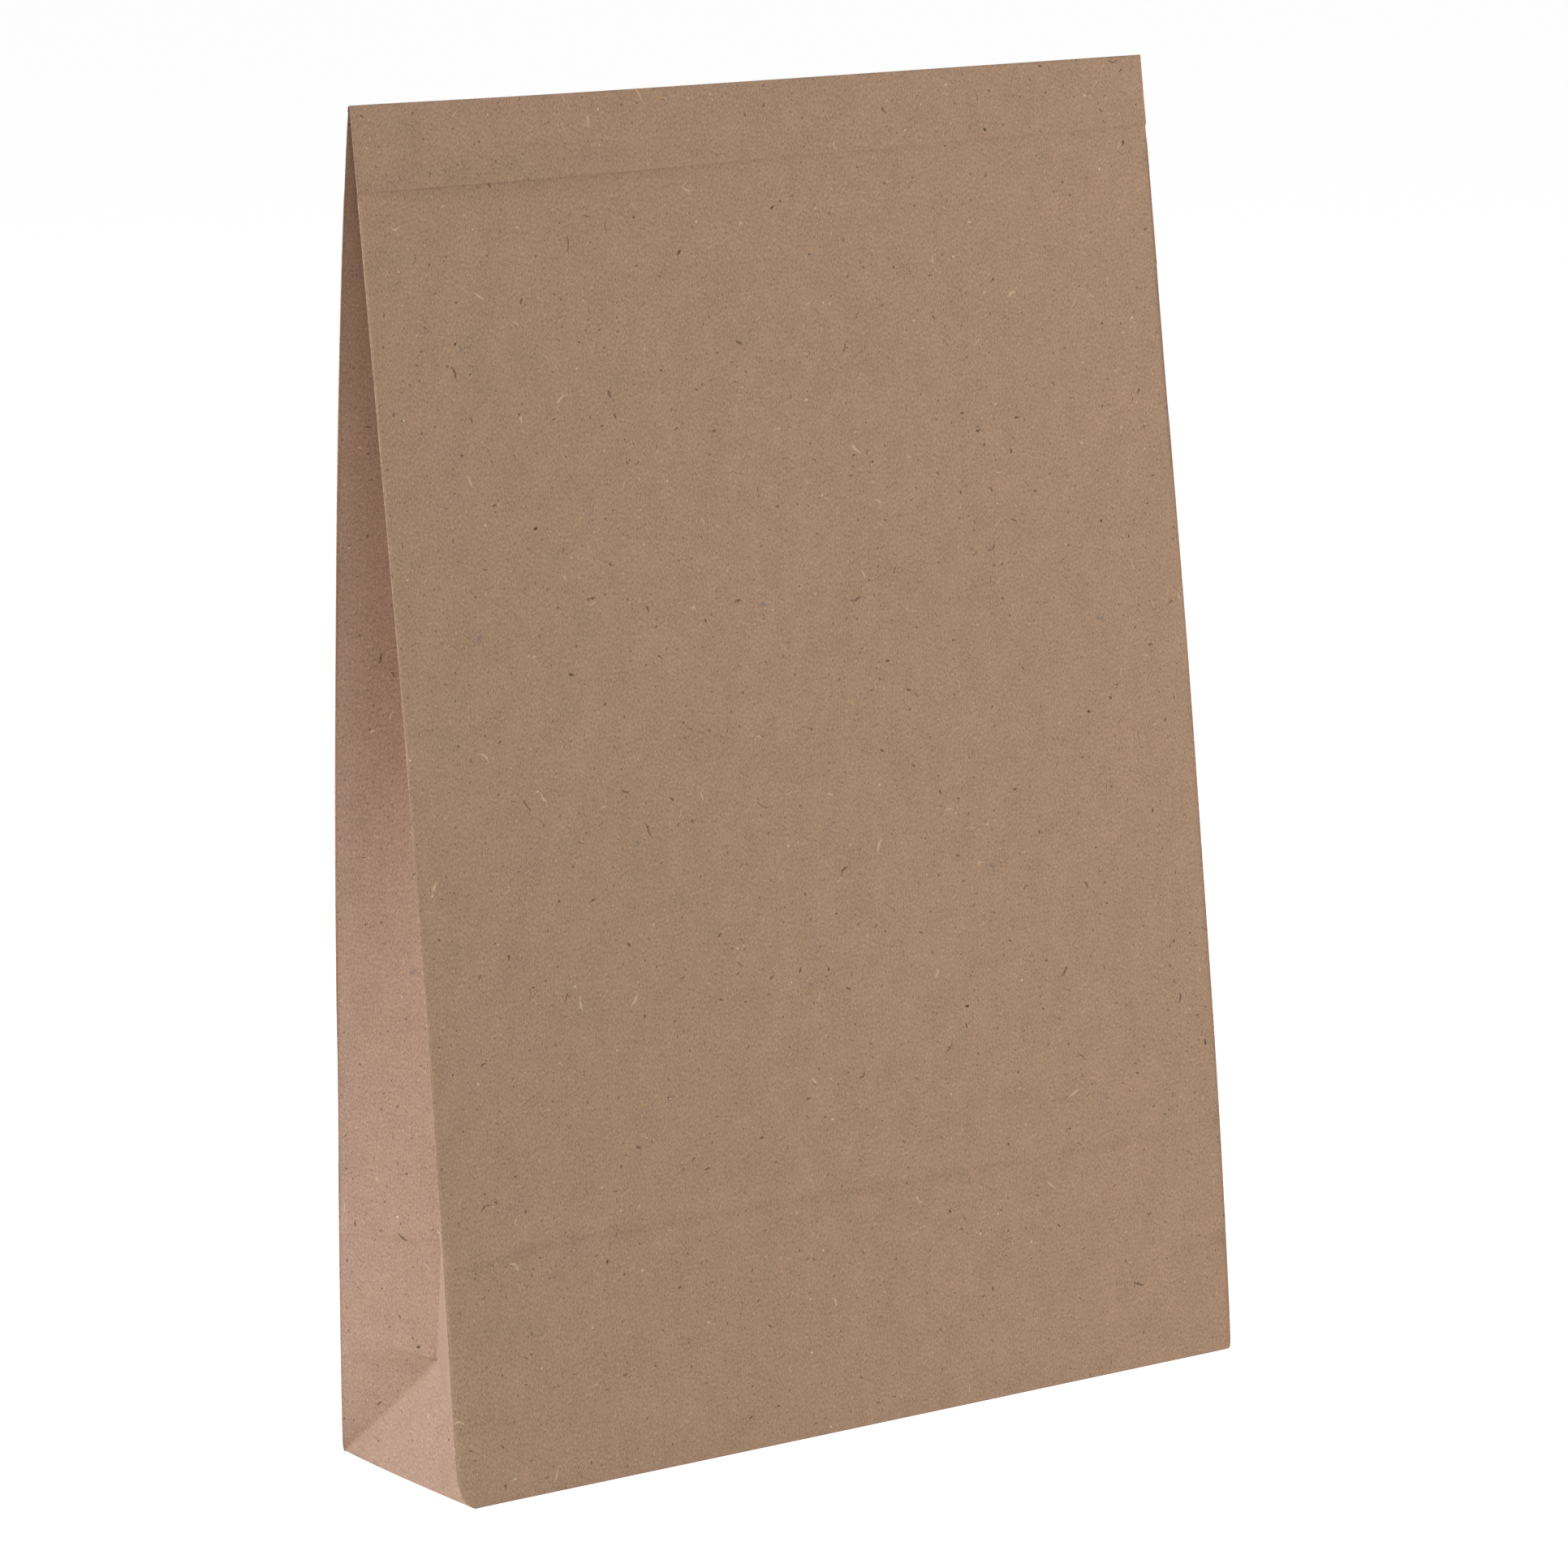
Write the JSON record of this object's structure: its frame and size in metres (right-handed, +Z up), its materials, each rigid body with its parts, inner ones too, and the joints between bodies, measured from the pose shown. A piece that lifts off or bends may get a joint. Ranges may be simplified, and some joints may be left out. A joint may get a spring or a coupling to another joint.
{
  "type": "gusseted paper mailing bag",
  "caption": "Closed upright bag of brown recycled kraft paper with side gussets, a flat folded base and a glued top flap.",
  "frame": {"origin": "middle of the bag's box on the surface it stands on", "axes": "+Z up from the base to the ridge, +X across the front to the right, front faces -Y"},
  "size_m": [0.3, 0.0773, 0.4286],
  "materials": {
    "kraft_paper": "matte"
  },
  "bodies": {
    "root": {"paper_bag": "kraft_paper"}
  },
  "joints": []
}
